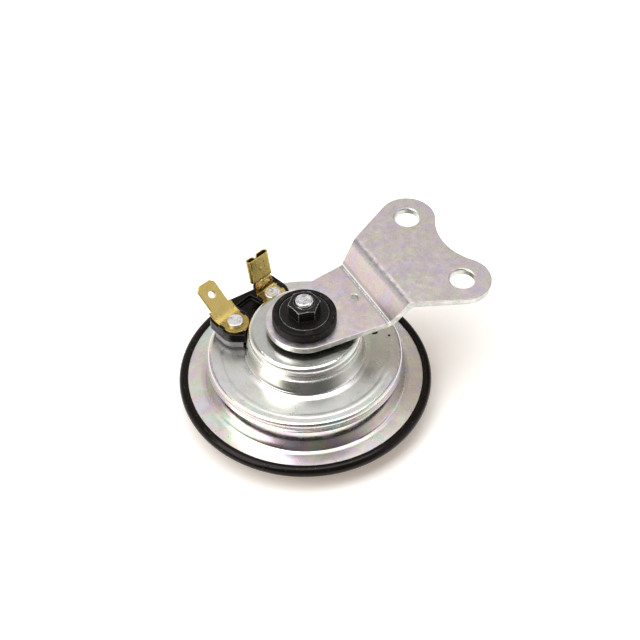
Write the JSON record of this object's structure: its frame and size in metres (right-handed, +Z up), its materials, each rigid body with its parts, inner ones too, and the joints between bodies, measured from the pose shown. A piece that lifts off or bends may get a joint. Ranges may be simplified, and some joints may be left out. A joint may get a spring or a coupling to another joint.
{
  "type": "car horn",
  "caption": "Flat electromagnetic car horn: stepped zinc-plated housing rolled into a black front cover, joggled bracket on rubber cushions, blade and receptacle terminals.",
  "frame": {"origin": "on the horn's axis, at the flat face of the front cover that it stands on", "axes": "+Z up the mounting stud, away from the front cover; +X along the bracket's arm towards its two mounting holes; +Y completes the frame, and the two terminals lie on its side"},
  "size_m": [0.0886, 0.074, 0.0387],
  "materials": {
    "zinc_plate": "bright zinc plate",
    "zinc_plate_bright": "worn zinc plate",
    "bracket_zinc": "passivated zinc plate",
    "black_paint": "gloss black",
    "black_oxide": "black oxide",
    "spring_steel": "satin",
    "core_iron": "satin",
    "copper_wire": "enamelled wire",
    "contact_metal": "polished",
    "gasket_paper": "matt fibre",
    "insulator_board": "laminate board",
    "bobbin_plastic": "moulded",
    "seal_plastic": "satin",
    "block_plastic": "gloss",
    "brass": "rolled",
    "rivet_metal": "tinned",
    "rubber": "moulded",
    "seal_paper": "oiled fibre"
  },
  "bodies": {
    "horn": {"housing": "zinc_plate", "front_cover": "black_paint", "gasket_front": "gasket_paper", "gasket_rear": "gasket_paper", "diaphragm": "spring_steel", "pole_core": "zinc_plate_bright", "bobbin": "bobbin_plastic", "coil_winding": "copper_wire", "contact_base": "spring_steel", "contact_blade": "spring_steel", "fixed_contact_arm": "core_iron", "fixed_contact_point": "contact_metal", "upper_insulator": "insulator_board", "middle_insulator": "insulator_board", "lower_insulator": "insulator_board", "contact_clamp_plate": "core_iron", "contact_rivet": "rivet_metal", "adjusting_screw": "brass", "block_seal": "seal_paper", "block_base": "seal_plastic", "terminal_block": "block_plastic", "inner_insulator": "insulator_board", "blade_terminal": "brass", "receptacle_terminal": "brass", "blade_rivet": "rivet_metal", "receptacle_rivet": "rivet_metal", "lower_cushion": "rubber", "upper_cushion": "rubber", "spacer_collar": "core_iron", "flat_washer": "black_oxide", "stud_nut": "black_oxide", "mounting_bracket": "bracket_zinc"},
    "armature": {"armature": "core_iron", "upper_clamp_washer": "core_iron", "lower_clamp_washer": "core_iron", "armature_nut": "core_iron"}
  },
  "joints": [
    {"name": "armature_stroke", "type": "slide", "parent": "horn", "child": "armature", "axis": [0, 0, 1], "range_m": [-0.0004, 0.0005], "stiffness_N_per_m": 20000, "deforming": ["diaphragm", "contact_blade"]}
  ]
}
